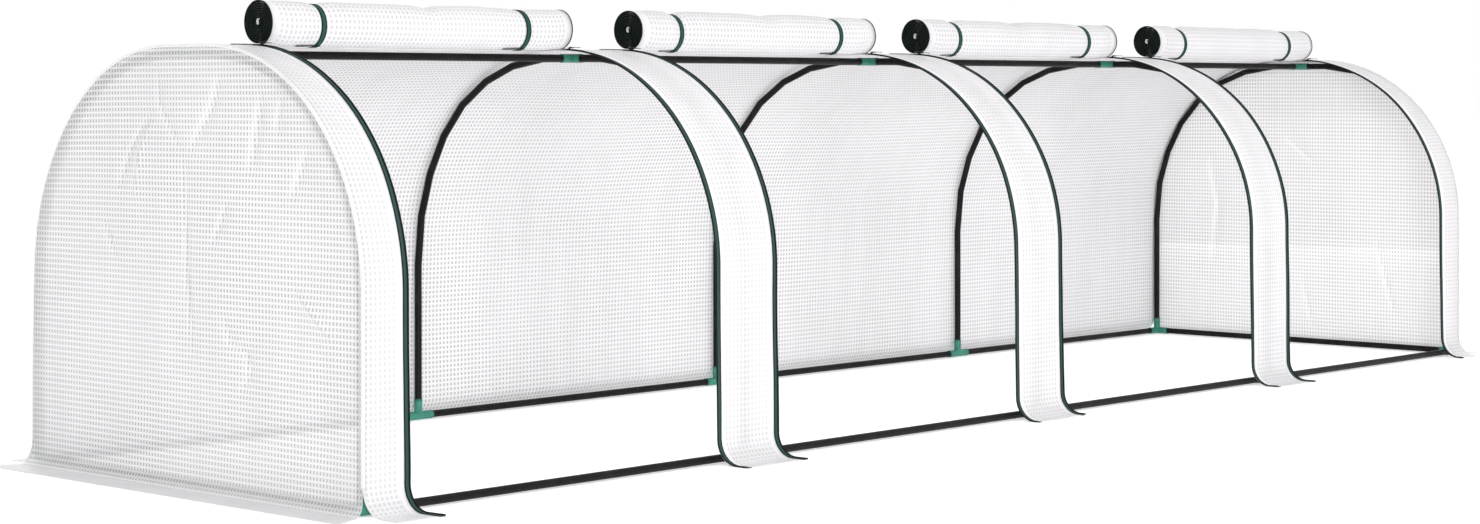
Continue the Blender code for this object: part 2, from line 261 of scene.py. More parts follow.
# the greys are the ground's, the dashes', the threads' and that of the light coming through
# one film throughout, with its greys set part by part as painted light and shade: darkest on the end walls,
# lightest on the rolled doors
wallFilm = filmLook("wallFilm", 0.0091, (0.850, 0.340, 0.962, 0.932), 0.15, 0.36)
roofFilm = filmLook("roofFilm", 0.0108, (0.882, 0.442, 0.952, 0.942), 0.15, 0.18)
stripFilm = filmLook("stripFilm", 0.0108, (0.892, 0.622, 0.932, 0.922), 0.18, 0.20)
doorFilm = filmLook("doorFilm", 0.0108, (0.932, 0.622, 0.952, 0.922), 0.26, 0.0)
hemCloth = plainClothLook("hemCloth", 0.922, 0.872)
# painted shade: the flaps get the hem cloth with darker greys, as the end walls' flaps lie in shade
flapCloth = plainClothLook("flapCloth", 0.862, 0.782)
zipTape = tapeLook("zipTape", 0.0120, 0.0018, (0.034, 0.074, 0.068), (0.002, 0.006, 0.006), 0.0011)
rolledTape = webbingLook("rolledTape", (0.0005, 0.0016, 0.0024), (0.0018, 0.0062, 0.0076), 0.0011)
zipCoil = hardZipLook()
zipMetal = sliderLook()
webbing = tapeLook("tieWebbing", 0.0128, 0.0011, (0.022, 0.078, 0.066), (0.002, 0.012, 0.010), 0.0016)
print("finishes made")


# Sizes read from the frame

def middleOf(node):
    return sum(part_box(node), Vector()) / 2


hoopX = [middleOf("hoop_%d_front" % n).x for n in range(1, 6)]
bayLength = hoopX[1] - hoopX[0]
ridgeZ = middleOf("ridge_tube_1").z
railZ = middleOf("front_rail_1").z
halfWidth = middleOf("back_rail_1").y
doorHinge = next(j for j in frame["joints"] if j["name"] == "door_1_roll_down")
pivotY, pivotZ = doorHinge["pos_m"][1:]
doorSwing = math.radians(doorHinge["range_deg"][1])
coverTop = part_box("cover_roof_and_back")[1].z
coverRadius = coverTop - pivotZ  # outer face of the cover, about the bend's centre
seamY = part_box("cover_roof_and_back")[0].y
stripSpans = [[corner.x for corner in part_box("front_strip_%d" % n)] for n in range(1, 6)]
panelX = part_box("front_strip_5")[1].x
seamAngle = math.asin((pivotY - seamY) / coverRadius)

cloth = {"thickness": 0.0005, "flare": 0.050, "flap": 0.078, "sag": 0.007, "stripSag": 0.006,
         "pull": 0.0075, "pullAt": 0.58, "pullReach": 0.42, "hem": 0.013, "underRoll": 0.0035,
         "stripHalf": 0.09, "step": 0.012, "footStep": 0.008, "rollEdge": (0.10, 0.15), "rollBack": 0.12,
         "ripples": ((0.0012, 0.0012), (0.0004, 0.0011)), "heldByHoop": (0.012, 0.05),
         "heldByRidge": (0.02, 0.15)}

archFlat = -pivotY  # from the ridge to where the bend starts
bendEnd = archFlat + coverRadius * math.pi / 2
legEnd = bendEnd + pivotZ - cloth["flare"]
flareEnd = legEnd + cloth["flare"] * math.pi / 2
clothEnd = flareEnd + cloth["flap"] - cloth["flare"]
wallY = archFlat + coverRadius
seamS = -(archFlat + coverRadius * seamAngle)


# Small sums and mesh helpers

def smoothly(value, low, high):  # 0 up to low, 1 from high
    t = min(1.0, max(0.0, (value - low) / (high - low)))
    return t * t * (3 - 2 * t)


def waver(x, y, z):  # smooth noise, the same at each run
    return noise.noise(Vector((x, y, z)))


def fromHoop(x):
    return min(abs(x - hoop) for hoop in hoopX)


def titleOf(node):  # a piece is named like the node that it replaces
    first, *rest = node.split("_")
    return first + "".join(word.title() for word in rest)


def meshObject(name, bm, looks, smooth=40):
    mesh = bpy.data.meshes.new(name)
    bm.to_mesh(mesh)
    bm.free()
    for look in looks:
        mesh.materials.append(look)
    mesh.shade_smooth()
    if smooth:
        mesh.set_sharp_from_angle(angle=math.radians(smooth))
    return placed(name, mesh)


def placed(name, data):
    thing = bpy.data.objects.new(name, data)
    bpy.context.scene.collection.objects.link(thing)
    return thing


def evenly(low, high, step):
    count = max(1, math.ceil(abs(high - low) / step))
    return [low + (high - low) * i / count for i in range(count + 1)]


def skin(name, rows, looks, closed=False, plain=None):
    # a grid of points laid out in rows, each point a place and its measure on the cloth
    bm = bmesh.new()
    wide, tall = len(rows[0]) - 1, len(rows) - 1
    bmesh.ops.create_grid(bm, x_segments=wide, y_segments=tall, size=0.5)
    measure = bm.loops.layers.uv.new("clothMeasure")

    def pointAt(vert):
        return rows[round((vert.co.y + 0.5) * tall)][round((vert.co.x + 0.5) * wide)]

    for face in bm.faces:
        if plain:  # some rows and columns are a plain hem
            middle = face.calc_center_median()
            hem = plain(int((middle.x + 0.5) * wide), int((middle.y + 0.5) * tall))
            face.material_index = 1 if hem else 0
        for loop in face.loops:
            loop[measure].uv = pointAt(loop.vert)[1]
    for vert in bm.verts:
        vert.co = pointAt(vert)[0]
    if closed:
        bmesh.ops.remove_doubles(bm, verts=bm.verts, dist=1e-6)
        ends = [edge for edge in bm.edges if edge.is_boundary]
        bmesh.ops.holes_fill(bm, edges=ends, sides=0)
        bmesh.ops.recalc_face_normals(bm, faces=bm.faces)
    return meshObject(name, bm, looks, 40 if closed else 0)


def thicken(piece, offset=0.0):
    wall = piece.modifiers.new("thickness", 'SOLIDIFY')
    wall.thickness = cloth["thickness"]
    wall.offset = offset
    wall.use_rim = True


def ringOf(radius, sides):
    return [(radius * math.cos(math.tau * i / sides), radius * math.sin(math.tau * i / sides))
            for i in range(sides + 1)]


def boxOf(low, high, lowUp, highUp):
    return [(low, lowUp), (high, lowUp), (high, highUp), (low, highUp), (low, lowUp)]


def bandAlong(name, stations, section, look):
    # a closed section carried along stations: each has its place, the way across, the way out and its
    # length so far
    around = [0.0]
    for first, second in zip(section, section[1:]):
        around.append(around[-1] + math.dist(first, second))
    rows = []
    for place, across, out, length in stations:
        rows.append([(place + across * a + out * b, (u, length)) for (a, b), u in zip(section, around)])
    return skin(name, rows, [look], closed=True)


# Frame tubes

tube = {"radius": 0.008, "sides": 20, "kinkRadius": 0.024, "kinkSteps": 3, "bendRadius": 0.4247,
        "kinkAngles": (2.8, 16.0, 28.1, 40.6, 53.2, 66.3, 79.8),
        "kinkDips": (0.0, 0.002, 0.001, 0.001, 0.004, 0.0075, 0.007),
        "bendDrop": 0.422, "frontDip": 0.35, "legTop": 0.345, "socketStop": 0.0105}


class Pipe:  # a tube drawn run by run, with a spin at each bend
    def __init__(self, place, ahead):
        self.bm = bmesh.new()
        self.place = Vector(place)
        self.ahead = Vector(ahead)
        turn = Vector((0, 0, 1)).rotation_difference(self.ahead).to_matrix().to_4x4()
        made = bmesh.ops.create_circle(self.bm, segments=tube["sides"], radius=tube["radius"],
                                       matrix=Matrix.Translation(self.place) @ turn)
        self.verts = made["verts"]
        self.edges = list(self.bm.edges)

    def run(self, length):
        made = bmesh.ops.extrude_edge_only(self.bm, edges=self.edges)["geom"]
        self.verts = [item for item in made if isinstance(item, bmesh.types.BMVert)]
        ends = set(self.verts)
        self.edges = [item for item in made if isinstance(item, bmesh.types.BMEdge)
                      and item.verts[0] in ends and item.verts[1] in ends]
        bmesh.ops.translate(self.bm, verts=self.verts, vec=self.ahead * length)
        self.place += self.ahead * length

    def bend(self, angle):
        axis = Vector((1, 0, 0))
        inward = axis.cross(self.ahead).normalized()
        centre = self.place + inward * math.copysign(tube["kinkRadius"], angle)
        made = bmesh.ops.spin(self.bm, geom=self.verts + self.edges, cent=centre, axis=axis, angle=angle,
                              steps=tube["kinkSteps"], use_merge=False)["geom_last"]
        self.verts = [item for item in made if isinstance(item, bmesh.types.BMVert)]
        self.edges = [item for item in made if isinstance(item, bmesh.types.BMEdge)]
        turn = Matrix.Rotation(angle, 3, axis)
        self.place = centre + turn @ (self.place - centre)
        self.ahead = turn @ self.ahead

    def finish(self, node):
        ends = [edge for edge in self.bm.edges if edge.is_boundary]
        bmesh.ops.holes_fill(self.bm, edges=ends, sides=0)
        bmesh.ops.recalc_face_normals(self.bm, faces=self.bm.faces)
        settle(meshObject(titleOf(node), self.bm, [blackCoat]), node)


def settle(piece, node=None, body="tunnel"):
    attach(piece, body)
    if node:
        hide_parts(node)
    return piece


def hoopCorners(side):
    # from the foot up to the ridge, in y and z: the tube is bent in short straight runs
    corners = [(halfWidth, railZ + tube["socketStop"]), (halfWidth, tube["legTop"])]
    share = tube["frontDip"] if side < 0 else 1.0
    for angle, dip in reversed(list(zip(tube["kinkAngles"], tube["kinkDips"]))):
        radius = tube["bendRadius"] - dip * share
        turn = math.radians(angle)
        y = archFlat + radius * math.sin(turn)
        z = ridgeZ - tube["bendDrop"] + radius * math.cos(turn)
        corners.append((y, min(z, ridgeZ)))
    corners[-1] = (corners[-1][0], ridgeZ)
    corners.append((tube["socketStop"], ridgeZ))
    return [Vector((0, side * y, z)) for y, z in corners]


def makeHoop(number, word, side):
    corners = hoopCorners(side)
    ways = [(b - a).normalized() for a, b in zip(corners, corners[1:])]
    pipe = Pipe((hoopX[number - 1], corners[0].y, corners[0].z), ways[0])
    used = 0.0
    for i, way in enumerate(ways):
        full = (corners[i + 1] - corners[i]).length
        if i == len(ways) - 1:
            pipe.run(full - used)
            break
        turn = math.atan2(way.cross(ways[i + 1]).x, way.dot(ways[i + 1]))
        tangent = tube["kinkRadius"] * math.tan(abs(turn) / 2)
        pipe.run(full - used - tangent)
        pipe.bend(turn)
        used = tangent
    pipe.finish("hoop_%d_%s" % (number, word))


def makeTubes():
    for number in range(1, 6):
        makeHoop(number, "front", -1)
        makeHoop(number, "back", 1)
    for number in range(1, 5):
        start = hoopX[number - 1] + tube["socketStop"]
        for word, y, z in (("ridge_tube", 0.0, ridgeZ), ("front_rail", -halfWidth, railZ),
                           ("back_rail", halfWidth, railZ)):
            pipe = Pipe((start, y, z), (1, 0, 0))
            pipe.run(bayLength - 2 * tube["socketStop"])
            pipe.finish("%s_%d" % (word, number))
    for word, x in (("left", hoopX[0]), ("right", hoopX[-1])):
        reach = halfWidth - tube["socketStop"]
        pipe = Pipe((x, -reach, railZ), (0, 1, 0))
        pipe.run(2 * reach)
        pipe.finish("end_rail_" + word)
    print("tubes made")


# Green corner, tee and cross fittings

fitting = {"radius": 0.0093, "sides": 40, "bore": 0.00815, "collar": 0.0035, "footReach": 0.040,
           "riserHeight": 0.037, "ridgeReach": 0.031, "voxel": 0.0008, "smoothing": 5,
           "cutOff": 0.004, "drillPast": 0.002, "sharp": 38}


def applied(piece):
    # the piece's mesh with its modifiers in it
    bpy.context.view_layer.update()
    graph = bpy.context.evaluated_depsgraph_get()
    mesh = bpy.data.meshes.new_from_object(piece.evaluated_get(graph))
    bpy.data.objects.remove(piece)
    return mesh


def rod(bm, radius, start, end, direction):
    turn = Vector((0, 0, 1)).rotation_difference(Vector(direction)).to_matrix().to_4x4()
    place = turn @ Matrix.Translation((0, 0, (start + end) / 2))
    bmesh.ops.create_cone(bm, cap_ends=True, segments=fitting["sides"], radius1=radius, radius2=radius,
                          depth=end - start, matrix=place)


def sliced(bm, place, way, clear):
    return bmesh.ops.bisect_plane(bm, geom=bm.verts[:] + bm.edges[:] + bm.faces[:], dist=1e-6,
                                  plane_co=place, plane_no=way, clear_outer=clear)["geom_cut"]


def fittingMesh(name, arms):
    # pipes melted together with soft inner corners, cut clean at the ends, then bored
    solid = bmesh.new()
    for direction, reach in arms:
        rod(solid, fitting["radius"], 0.0, reach + fitting["cutOff"], direction)
    bmesh.ops.create_uvsphere(solid, u_segments=32, v_segments=20, radius=fitting["radius"])
    body = meshObject(name, solid, [], smooth=0)
    remesh = body.modifiers.new("melt", 'REMESH')
    remesh.mode = 'VOXEL'
    remesh.voxel_size = fitting["voxel"]
    bm = bmesh.new()
    bm.from_mesh(applied(body))
    for i in range(fitting["smoothing"]):
        bmesh.ops.smooth_vert(bm, verts=bm.verts, factor=0.5, use_axis_x=True, use_axis_y=True,
                              use_axis_z=True)
    for direction, reach in arms:
        way = Vector(direction)
        cut = sliced(bm, way * reach, way, True)
        rim = [item for item in cut if isinstance(item, bmesh.types.BMEdge)]
        bmesh.ops.holes_fill(bm, edges=rim, sides=0)
        sliced(bm, way * (reach - fitting["collar"]), way, False)
    for face in bm.faces:
        centre = face.calc_center_median()
        far = [centre.dot(Vector(direction)) > reach - fitting["collar"] for direction, reach in arms]
        face.material_index = 1 if any(far) else 0
    bmesh.ops.recalc_face_normals(bm, faces=bm.faces)
    body = meshObject(name, bm, [greenPlastic, greenCollar], smooth=0)
    drill = bmesh.new()
    for direction, reach in arms:
        rod(drill, fitting["bore"], tube["socketStop"], reach + fitting["drillPast"], direction)
    drill = meshObject(name + "Drill", drill, [greenCollar], smooth=0)
    cut = body.modifiers.new("bores", 'BOOLEAN')
    cut.operation = 'DIFFERENCE'
    cut.solver = 'EXACT'
    cut.object = drill
    mesh = applied(body)
    bpy.data.objects.remove(drill)
    mesh.shade_smooth()
    mesh.set_sharp_from_angle(angle=math.radians(fitting["sharp"]))
    return mesh


def placeFitting(mesh, node, place, turn=0.0):
    own = mesh.copy()
    own.transform(Matrix.Translation(place) @ Matrix.Rotation(turn, 4, 'Z'))
    settle(placed(titleOf(node), own), node)


def makeFittings():
    along, back, across, near, up = (1, 0, 0), (-1, 0, 0), (0, 1, 0), (0, -1, 0), (0, 0, 1)
    foot, ridge = fitting["footReach"], fitting["ridgeReach"]
    riser = (up, fitting["riserHeight"])
    corner = fittingMesh("corner", [(along, foot), (across, foot), riser])
    footTee = fittingMesh("footTee", [(along, foot), (back, foot), riser])
    cross = fittingMesh("cross", [(way, ridge) for way in (along, back, across, near)])
    ridgeTee = fittingMesh("ridgeTee", [(way, ridge) for way in (along, across, near)])
    quarter = math.pi / 2
    for word, x, y, turn in (("front_left", hoopX[0], -halfWidth, 0.0),
                             ("front_right", hoopX[-1], -halfWidth, quarter),
                             ("back_right", hoopX[-1], halfWidth, 2 * quarter),
                             ("back_left", hoopX[0], halfWidth, 3 * quarter)):
        placeFitting(corner, "corner_fitting_" + word, (x, y, railZ), turn)
    for number in (2, 3, 4):
        for mesh, word, y, z in ((footTee, "foot_tee_front", -halfWidth, railZ),
                                 (footTee, "foot_tee_back", halfWidth, railZ),
                                 (cross, "ridge_cross", 0, ridgeZ)):
            placeFitting(mesh, "%s_%d" % (word, number), (hoopX[number - 1], y, z))
    placeFitting(ridgeTee, "ridge_tee_left", (hoopX[0], 0, ridgeZ))
    placeFitting(ridgeTee, "ridge_tee_right", (hoopX[-1], 0, ridgeZ), 2 * quarter)
    print("fittings made")


# Cover: the shape that all its sheets and zips follow

def pullOf(s):
    # the back of the cover is drawn in over the hoops' shoulders
    away = abs(s - cloth["pullAt"]) / cloth["pullReach"]
    return cloth["pull"] * math.cos(away * math.pi / 2) ** 2 if away < 1 else 0.0


def archPoint(s):
    # y, z and the outward way at s metres from the ridge line, minus towards the doors
    side, t, flare = -1 if s < 0 else 1, abs(s), cloth["flare"]
    if t < archFlat:
        y, z, ny, nz = t, coverTop, 0.0, 1.0
    elif t < bendEnd:
        angle = (t - archFlat) / coverRadius
        ny, nz = math.sin(angle), math.cos(angle)
        y, z = archFlat + coverRadius * ny, pivotZ + coverRadius * nz
    elif t < legEnd:
        y, z, ny, nz = wallY, pivotZ - (t - bendEnd), 1.0, 0.0
    elif t < flareEnd:
        angle = (t - legEnd) / flare
        ny, nz = math.cos(angle), math.sin(angle)
        y, z = wallY + flare * (1 - ny), flare * (1 - nz)
    else:
        y, z, ny, nz = wallY + flare + t - flareEnd, 0.0, 0.0, 1.0
    pull = pullOf(s)
    return side * (y - ny * pull), z - nz * pull, side * ny, nz


def hangOf(x, s, frontStrip):
    # how far the cloth hangs inside the arch, between the hoops and away from ridge and rail
    along = math.sin(math.pi * min(1.0, abs(s) / legEnd))
    if frontStrip:
        return cloth["stripSag"] * min(1.0, fromHoop(x) / cloth["stripHalf"]) ** 2 * along
    hang = cloth["sag"] * (0.5 - 0.5 * math.cos(math.tau * fromHoop(x) / bayLength)) * along
    return hang + underRoll(x) * (1 - smoothly(s, 0.0, cloth["rollBack"]))


def underRoll(x):
    # how far the roof gives way under a rolled-up door, between the strips
    return cloth["underRoll"] * smoothly(fromHoop(x), *cloth["rollEdge"])


def ripple(x, s, seed):
    # long waves and short ones, each with its height and how much it gains low down
    low = smoothly(abs(s), bendEnd, flareEnd)
    (long, longGain), (short, shortGain) = cloth["ripples"]
    return ((long + longGain * low) * waver(x * 5.0, s * 5.0, seed)
            + (short + shortGain * low) * waver(x * 17.0, s * 9.0, seed + 7.0))


def coverPlace(x, s, frontStrip=False, seed=0.0):
    y, z, ny, nz = archPoint(s)
    free = smoothly(fromHoop(x), *cloth["heldByHoop"]) * smoothly(abs(s), *cloth["heldByRidge"])
    out = ripple(x, s, seed) * free - hangOf(x, s, frontStrip)
    if abs(s) > legEnd:  # it turns out onto the ground, and stays above it
        out = max(out, -0.001 * (flareEnd - min(abs(s), flareEnd)) / cloth["flare"])
    return Vector((x, y + ny * out, z + nz * out))


roof = {"across": 0.03, "down": 0.02, "hem": 0.018, "flapWave": 0.006}


def hemmed(low, high, step, hem):
    # evenly spread places, with a narrow hem at each end
    return [low] + evenly(low + hem, high - hem, step) + [high]


def makeRoof():
    xs = hemmed(-panelX, panelX, roof["across"], roof["hem"])
    stops = [seamS] + evenly(seamS + roof["hem"], 0.0, roof["down"]) + evenly(0.0, legEnd, roof["down"])[1:]
    stops += evenly(legEnd, clothEnd - roof["hem"], cloth["footStep"])[1:] + [clothEnd]
    rows = [[(coverPlace(x, s + flapWave(x, s)), (x, s)) for x in xs] for s in stops]
    last = (len(xs) - 2, len(stops) - 2)
    sheet = skin("roofAndBack", rows, [roofFilm, hemCloth],
                 plain=lambda i, j: i in (0, last[0]) or j in (0, last[1]))
    thicken(sheet, -1.0)
    settle(sheet, "cover_roof_and_back")
    clothEnd - seamS
    print("roof and back made")


def flapWave(x, s):
    # the free edge of a flap isn't quite straight
    return roof["flapWave"] * smoothly(s, flareEnd, clothEnd) * waver(x * 4.0, 1.5, 0.0)


strip = {"across": 0.012, "down": 0.02, "reach": (0.095, 0.080, 0.062, 0.076, 0.064)}


def stripPlace(number, x, s):
    return coverPlace(x, s, frontStrip=True, seed=number)


def stripEnd(number):
    return -(flareEnd + strip["reach"][number - 1] - cloth["flare"])


def makeStrips():
    for number in range(1, 6):
        low, high = stripSpans[number - 1]
        hem = zipper["tape"] + cloth["hem"]
        starts = [low, low + hem] if number > 1 else [low]  # only an edge with a zip is hemmed
        ends = [high - hem, high] if number < 5 else [high]
        xs = starts[:-1] + evenly(starts[-1], ends[0], strip["across"]) + ends[1:]
        bare = {0} if number > 1 else set()
        if number < 5:
            bare.add(len(xs) - 2)
        end = stripEnd(number)
        stops = [end] + evenly(end + cloth["hem"], -legEnd, cloth["footStep"])
        stops += evenly(-legEnd, seamS, strip["down"])[1:]
        rows = [[(stripPlace(number, x, s), (x, s)) for x in xs] for s in stops]
        sheet = skin("frontStrip%d" % number, rows, [stripFilm, hemCloth],
                     plain=lambda i, j: i in bare or j == 0)
        thicken(sheet, -1.0)
        settle(sheet, "front_strip_%d" % number)
        seamS - end
    print("front strips made")


# the mark shift and width place the painted crease shade and highlight
panel = {"columns": 180, "rows": 150, "reach": 0.082, "flare": 0.026, "spread": 0.030, "fold": 0.0030,
         "inset": 0.0015, "markShift": 0.004, "markWidth": 0.0035, "heldByHoop": (0.02, 0.11),
         "heldByGround": (0.03, 0.12), "flapWave": 0.0012, "flareStep": 0.006, "crowd": 0.3,
         "turnExtra": 0.5708}  # how much longer a quarter turn is than its radius

# each crease: its points in y and z, how wide it is and how far it stands out
creases = {
    "Left": [
        ([(0.01, 0.63), (0.00, 0.42), (-0.02, 0.24)], 0.009, -0.0064),
        ([(0.08, 0.78), (0.08, 0.71), (0.01, 0.62)], 0.011, -0.0056),
        ([(-0.11, 0.77), (-0.08, 0.71), (-0.01, 0.62)], 0.016, -0.0088),
        ([(0.10, 0.70), (0.17, 0.63), (0.21, 0.55)], 0.011, -0.0066),
        ([(0.11, 0.68), (0.14, 0.62), (0.16, 0.53)], 0.011, 0.0066),
        ([(0.26, 0.49), (0.22, 0.42)], 0.011, -0.0060),
        ([(-0.23, 0.74), (-0.21, 0.67), (-0.19, 0.58)], 0.016, -0.0076),
        ([(-0.29, 0.73), (-0.27, 0.66)], 0.015, -0.0050),
        ([(-0.36, 0.64), (-0.31, 0.54)], 0.016, -0.0060),
        ([(-0.13, 0.54), (-0.08, 0.45)], 0.012, -0.0050),
        ([(-0.11, 0.33), (-0.13, 0.28), (-0.18, 0.26), (-0.19, 0.22), (-0.16, 0.19)], 0.011, -0.0060),
        ([(-0.32, 0.38), (-0.42, 0.30)], 0.011, 0.0066)],
    "Right": [
        ([(-0.25, 0.31), (-0.28, 0.20), (-0.31, 0.09)], 0.011, 0.0062),
        ([(-0.01, 0.20), (-0.05, 0.03)], 0.010, 0.0046),
        ([(0.04, 0.60), (-0.06, 0.52)], 0.015, 0.0054),
        ([(0.30, 0.55), (0.27, 0.40), (0.29, 0.22)], 0.015, 0.0060)]}


def creaseHeight(y, z, points, width):
    # 1 on the crease, falling off to both sides and towards its two ends
    best, at = 9.0, 0.0
    count = len(points) - 1
    for i, (first, second) in enumerate(zip(points, points[1:])):
        runY, runZ = second[0] - first[0], second[1] - first[1]
        t = ((y - first[0]) * runY + (z - first[1]) * runZ) / (runY ** 2 + runZ ** 2)
        t = min(1.0, max(0.0, t))
        away = math.hypot(y - first[0] - runY * t, z - first[1] - runZ * t)
        if away < best:
            best, at = away, (i + t) / count
    if best > 5 * width:
        return 0.0
    return math.exp(-best / width) * math.sqrt(max(0.0, 4 * at * (1 - at)))


def paintedCreaseShadeAndHighlight(y, z, word):
    # painted shade along each crease, and a painted highlight beside it on the side away from the doors
    y -= panel["markShift"]
    dark = 0.0
    pale = 0.0
    for points, width, deep in creases[word]:
        # dark sums the painted shade, pale the painted highlight
        dark += creaseHeight(y, z, points, panel["markWidth"])
        pale += creaseHeight(y - width * 0.8, z, points, width * 0.5)
    return min(1.0, dark) - min(1.0, pale) * 0.7


def panelFold(y, z, word, side):
    # soft upright waves, and the creases left from when the cover was folded
    fold = 0.8 * waver(y * 6.0 + z * 3.0, z * 3.5, side * 3.0)
    fold += 0.4 * waver(y * 19.0, z * 5.0, side * 5.0)
    fold += 0.12 * waver(y * 46.0, z * 24.0, side * 7.0)
    sharp = sum(deep * creaseHeight(y, z, points, width) for points, width, deep in creases[word])
    return panel["fold"] * fold + sharp


def archHeight(y):
    if abs(y) <= archFlat:
        return coverTop
    return pivotZ + math.sqrt(max(0.0, coverRadius ** 2 - (abs(y) - archFlat) ** 2))


def drawnIn(y, z):
    # the end wall's back edge is drawn in with the roof sheet that it joins
    if y <= 0:
        return Vector((0, 0, 0))
    spoke = Vector((max(0.0, y - archFlat), z - pivotZ))
    if z > pivotZ:
        turn = math.atan2(spoke.x, spoke.y)
        pull = pullOf(archFlat + coverRadius * turn) * (spoke.length / coverRadius) ** 4
        return Vector((0, math.sin(turn), math.cos(turn))) * pull
    return Vector((0, pullOf(bendEnd + pivotZ - z) * (y / wallY) ** 4, 0))


def panelPoint(word, side, y, zone, t):
    # a point of the end wall, with its measure up the sheet from where the sheet leaves the ground
    flare = panel["flare"]
    flareLength = flare * math.pi / 2
    flatPart = panel["reach"] - flare
    x = panelX
    if zone == "wall":
        top = archHeight(y)
        z = flare + (top - flare) * t
        down = z - flare + flareLength
        rim = coverRadius - Vector((max(0.0, abs(y) - archFlat), max(0.0, z - pivotZ))).length
        free = smoothly(min(rim, top - z), *panel["heldByHoop"]) * smoothly(z, *panel["heldByGround"])
        x += (panelFold(y, z, word, side) - panel["inset"]) * free
    elif zone == "flare":
        angle = math.pi / 2 - t / flare
        x += flare * (1 - math.cos(angle))
        z = flare * (1 - math.sin(angle))
        down = t
    else:
        x += panel["reach"] - t
        z = panel["flapWave"] * (0.5 + waver(y * 9.0, t * 20.0, side)) * smoothly(t, 0.0, 0.03)
        down = t - flatPart
    place = Vector((side * x, y, z)) - drawnIn(y, z)
    place.y += panel["spread"] * (1.0 - smoothly(down, -flatPart, flareLength)) * (y / wallY) ** 5
    return place, (y, down)


def makePanels():
    flare = panel["flare"]
    flap = evenly(0.0, panel["reach"] - flare, cloth["footStep"])
    stops = [("flap", t) for t in flap]
    stops += [("flare", t) for t in evenly(0.0, flare * math.pi / 2, panel["flareStep"])[1:]]
    stops += [("wall", i / panel["rows"]) for i in range(1, panel["rows"] + 1)]
    shares = [2 * i / panel["columns"] - 1 for i in range(panel["columns"] + 1)]
    crowd = panel["crowd"]  # the columns stand closer together towards the two sides
    ys = [wallY * ((1 - crowd) * u + crowd * math.sin(math.pi * u / 2)) for u in shares]
    for word, side, hoop in (("Left", -1, 1), ("Right", 1, 5)):
        rows = [[panelPoint(word, side, y, zone, t) for y in ys[::side]] for zone, t in stops]
        sheet = skin("endPanel" + word, rows, [wallFilm, flapCloth], plain=lambda i, j: j < len(flap) - 1)
        # each point keeps its painted crease shade and highlight, which the wall film reads
        creaseShades = sheet.data.attributes.new("crease", 'FLOAT', 'POINT')
        for vert, creaseShade in zip(sheet.data.vertices, creaseShades.data):
            creaseShade.value = paintedCreaseShadeAndHighlight(vert.co.y, vert.co.z, word) if vert.co.z > 2 * flare else 0.0
        thicken(sheet, 1.0)
        settle(sheet, "end_panel_" + word.lower())
        width, length = 2 * wallY, coverTop + panel["reach"] + panel["turnExtra"] * flare
        corner = coverRadius ** 2 * (1 - math.pi / 4)
        width * length - 2 * corner
        makeWelt(word, side)
    print("end panels made")


# a hem is given by its two edges across and its two faces out
welt = {"ridge": 0.0010, "ridgeShift": (0.0002, 0.0001), "roofHem": (-0.0008, 0.0042, -0.0002, 0.0009),
        "wallHem": (0.0004, 0.0042, 0.0001, 0.0011)}


def makeWelt(word, side):
    # the corner seam: a hem folded onto the roof, a ridge, and a hem folded onto the end wall
    over, up = welt["ridgeShift"]
    ridge = [(a + over, b + up) for a, b in ringOf(welt["ridge"], 8)]
    for part, section, onWall in (("RoofHem", boxOf(*welt["roofHem"]), False),
                                  ("Ridge", ridge, False),
                                  ("WallHem", boxOf(*welt["wallHem"]), True)):
        stations = []
        for s in evenly(-legEnd, legEnd, cloth["step"]):
            y, z, ny, nz = archPoint(s)
            inward = Vector((-side, 0, 0))
            outward = Vector((0, ny, nz))
            ways = (-outward, -inward) if onWall else (inward, outward)
            stations.append((Vector((side * panelX, y, z)), *ways, s))
        settle(bandAlong("cornerSeam%s%s" % (word, part), stations, section, hemCloth))


# Zips, on the strips' edges

zipper = {"tape": 0.0120, "tapeThick": 0.0018, "tapeLift": -0.0009, "coil": 0.0017, "betweenTeeth": 0.72,
          "toothPitch": 0.0032, "topS": 0.005, "stop": (0.0050, 0.0040, 0.0030), "stopEdge": 0.0009,
          "stopUp": 0.010}


def zipStations(number, x, side, step):
    # the way across runs along the strip's cloth, so that the tape lies on it
    hem = zipper["tape"] + cloth["hem"]
    stations = []
    for s in evenly(stripEnd(number), zipper["topS"], step):
        place = stripPlace(number, x, s)
        inner = stripPlace(number, x - side * hem, s)
        stations.append((place, (inner - place) / hem, Vector((0, *archPoint(s)[2:])), s))
    return stations


def makeStripZips():
    lift = zipper["tapeLift"]  # the cloth's edge is sewn into the folded tape
    tapeBox = boxOf(0.0, zipper["tape"], lift, lift + zipper["tapeThick"])
    for bay in range(1, 5):
        for word, number, side in (("Left", bay, 1), ("Right", bay + 1, -1)):
            x = stripSpans[number - 1][0 if side < 0 else 1]
            tape = bandAlong("stripZipTape%d%s" % (bay, word), zipStations(number, x, side, cloth["step"]),
                             tapeBox, zipTape)
            settle(tape)
            teeth = []
            fine = zipStations(number, x, side, zipper["toothPitch"] / 2)
            for i, (place, across, out, length) in enumerate(fine):
                swell = 1.0 if i % 2 else zipper["betweenTeeth"]
                teeth.append((place + out * zipper["coil"], across * swell, out * swell, length))
            coil = bandAlong("stripZipCoil%d%s" % (bay, word), teeth, ringOf(zipper["coil"], 6), zipCoil)
            settle(coil)
            foot = stripPlace(number, x, stripEnd(number) + zipper["stopUp"])
            wide, long, tall = zipper["stop"]
            stop = bmesh.new()
            roundedBox(stop, foot + Vector((-wide / 2, -long / 2, -0.0004)),
                       foot + Vector((wide / 2, long / 2, tall)), zipper["stopEdge"])
            settle(meshObject("zipStop%d%s" % (bay, word), stop, [zipCoil]))
    print("strip zips made")


# Doors, rolled up

